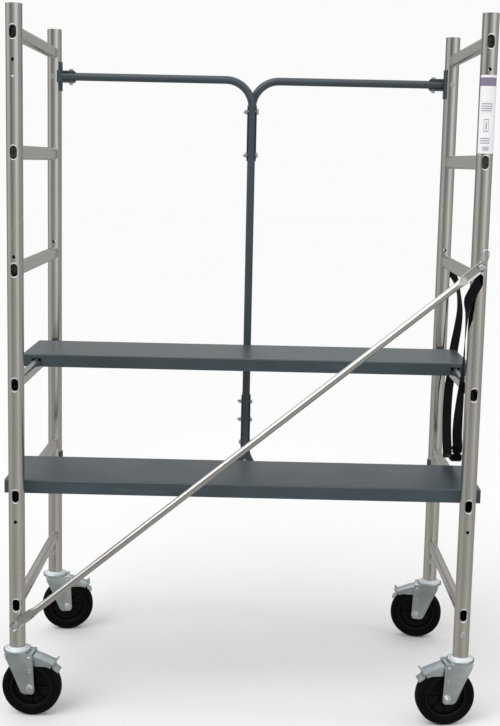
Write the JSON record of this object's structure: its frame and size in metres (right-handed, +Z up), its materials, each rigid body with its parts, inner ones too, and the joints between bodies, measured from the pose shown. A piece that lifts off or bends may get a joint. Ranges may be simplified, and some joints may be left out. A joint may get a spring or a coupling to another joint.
{
  "type": "frame scaffold section",
  "caption": "Narrow rolling scaffold section: two ladder frames, steel planks, guard rail, diagonal brace and braked casters.",
  "frame": {"origin": "on the floor, midway between the four stiles", "axes": "+X along the planks to the strap side, +Y from the brace side to the guard rail, +Z up"},
  "size_m": [1.2112, 0.6979, 1.756],
  "materials": {
    "galvanised_tube": "satin",
    "plank_coat": "satin",
    "rail_coat": "satin",
    "zinc": "gloss",
    "wire": "satin",
    "brace_alloy": "satin",
    "caster_sheet": "satin",
    "tyre_rubber": "matte",
    "hub_plastic": "matte",
    "webbing": "matte",
    "buckle_plastic": "gloss",
    "label_film": "satin"
  },
  "bodies": {
    "scaffold": {"brace_spacers": "zinc", "bracket_bolts": "zinc", "bracket_nuts": "zinc", "buckle_socket": "buckle_plastic", "buckle_tongue": "buckle_plastic", "caster_bolts": "zinc", "caster_nuts": "zinc", "caster_stems": "zinc", "diagonal_brace": "brace_alloy", "left_back_stile": "galvanised_tube", "left_front_stile": "galvanised_tube", "left_guard_rail": "rail_coat", "left_rungs": "galvanised_tube", "lower_left_bracket": "rail_coat", "lower_rail": "rail_coat", "lower_right_bracket": "rail_coat", "lower_splice": "rail_coat", "post_bolts": "zinc", "post_foot": "rail_coat", "post_nuts": "zinc", "rating_label": "label_film", "right_back_stile": "galvanised_tube", "right_front_stile": "galvanised_tube", "right_guard_rail": "rail_coat", "right_rungs": "galvanised_tube", "socket_bolts": "zinc", "socket_nuts": "zinc", "strap": "webbing", "swivel_races": "zinc", "upper_left_bracket": "rail_coat", "upper_right_bracket": "rail_coat", "upper_splice": "rail_coat"},
    "front_left_caster": {"front_left_fork": "caster_sheet", "front_left_axle": "zinc"},
    "front_left_wheel": {"front_left_hub": "hub_plastic", "front_left_tyre": "tyre_rubber"},
    "front_left_brake": {"front_left_pedal": "caster_sheet"},
    "back_left_caster": {"back_left_fork": "caster_sheet", "back_left_axle": "zinc"},
    "back_left_wheel": {"back_left_hub": "hub_plastic", "back_left_tyre": "tyre_rubber"},
    "back_left_brake": {"back_left_pedal": "caster_sheet"},
    "front_right_caster": {"front_right_fork": "caster_sheet", "front_right_axle": "zinc"},
    "front_right_wheel": {"front_right_hub": "hub_plastic", "front_right_tyre": "tyre_rubber"},
    "front_right_brake": {"front_right_pedal": "caster_sheet"},
    "back_right_caster": {"back_right_fork": "caster_sheet", "back_right_axle": "zinc"},
    "back_right_wheel": {"back_right_hub": "hub_plastic", "back_right_tyre": "tyre_rubber"},
    "back_right_brake": {"back_right_pedal": "caster_sheet"},
    "upper_plank": {"upper_plank_deck": "plank_coat", "upper_plank_saddles": "plank_coat", "upper_plank_ribs": "plank_coat"},
    "lower_plank": {"lower_plank_deck": "plank_coat", "lower_plank_saddles": "plank_coat", "lower_plank_ribs": "plank_coat"},
    "brace_pin": {"clip_pin": "zinc"},
    "brace_pin_bow": {"clip_bow": "wire"}
  },
  "joints": [
    {"name": "front_left_swivel", "type": "hinge", "parent": "scaffold", "child": "front_left_caster", "pos_m": [-0.56, -0.306, 0.17], "axis": [0, 0, 1], "continuous": true},
    {"name": "front_left_roll", "type": "hinge", "parent": "front_left_caster", "child": "front_left_wheel", "pos_m": [-0.52309, -0.30858, 0.075], "axis": [0.0698, 0.9976, 0], "continuous": true},
    {"name": "front_left_brake_release", "type": "hinge", "parent": "front_left_caster", "child": "front_left_brake", "pos_m": [-0.52509, -0.30844, 0.155], "axis": [-0.0698, -0.9976, 0], "range_deg": [0, 15]},
    {"name": "back_left_swivel", "type": "hinge", "parent": "scaffold", "child": "back_left_caster", "pos_m": [-0.56, 0.306, 0.17], "axis": [0, 0, 1], "continuous": true},
    {"name": "back_left_roll", "type": "hinge", "parent": "back_left_caster", "child": "back_left_wheel", "pos_m": [-0.52346, 0.31179, 0.075], "axis": [-0.1564, 0.9877, 0], "continuous": true},
    {"name": "back_left_brake_release", "type": "hinge", "parent": "back_left_caster", "child": "back_left_brake", "pos_m": [-0.52543, 0.31148, 0.155], "axis": [0.1564, -0.9877, 0], "range_deg": [0, 15]},
    {"name": "front_right_swivel", "type": "hinge", "parent": "scaffold", "child": "front_right_caster", "pos_m": [0.56, -0.306, 0.17], "axis": [0, 0, 1], "continuous": true},
    {"name": "front_right_roll", "type": "hinge", "parent": "front_right_caster", "child": "front_right_wheel", "pos_m": [0.52328, -0.31051, 0.075], "axis": [0.1219, -0.9925, 0], "continuous": true},
    {"name": "front_right_brake_release", "type": "hinge", "parent": "front_right_caster", "child": "front_right_brake", "pos_m": [0.52526, -0.31027, 0.155], "axis": [-0.1219, 0.9925, 0], "range_deg": [0, 15]},
    {"name": "back_right_swivel", "type": "hinge", "parent": "scaffold", "child": "back_right_caster", "pos_m": [0.56, 0.306, 0.17], "axis": [0, 0, 1], "continuous": true},
    {"name": "back_right_roll", "type": "hinge", "parent": "back_right_caster", "child": "back_right_wheel", "pos_m": [0.52346, 0.31179, 0.075], "axis": [-0.1564, -0.9877, 0], "continuous": true},
    {"name": "back_right_brake_release", "type": "hinge", "parent": "back_right_caster", "child": "back_right_brake", "pos_m": [0.52543, 0.31148, 0.155], "axis": [0.1564, 0.9877, 0], "range_deg": [0, 15]},
    {"name": "upper_plank_lift_off", "type": "slide", "parent": "scaffold", "child": "upper_plank", "axis": [0, 0, 1], "range_m": [0, 0.06]},
    {"name": "lower_plank_lift_off", "type": "slide", "parent": "scaffold", "child": "lower_plank", "axis": [0, 0, 1], "range_m": [0, 0.023]},
    {"name": "brace_pin_pull", "type": "slide", "parent": "scaffold", "child": "brace_pin", "axis": [0, -1, 0], "range_m": [0, 0.06]},
    {"name": "brace_pin_bow_turn", "type": "hinge", "parent": "brace_pin", "child": "brace_pin_bow", "pos_m": [0.56, -0.34025, 1.162], "axis": [0.9659, 0, -0.2588], "range_deg": [0, 150]}
  ]
}
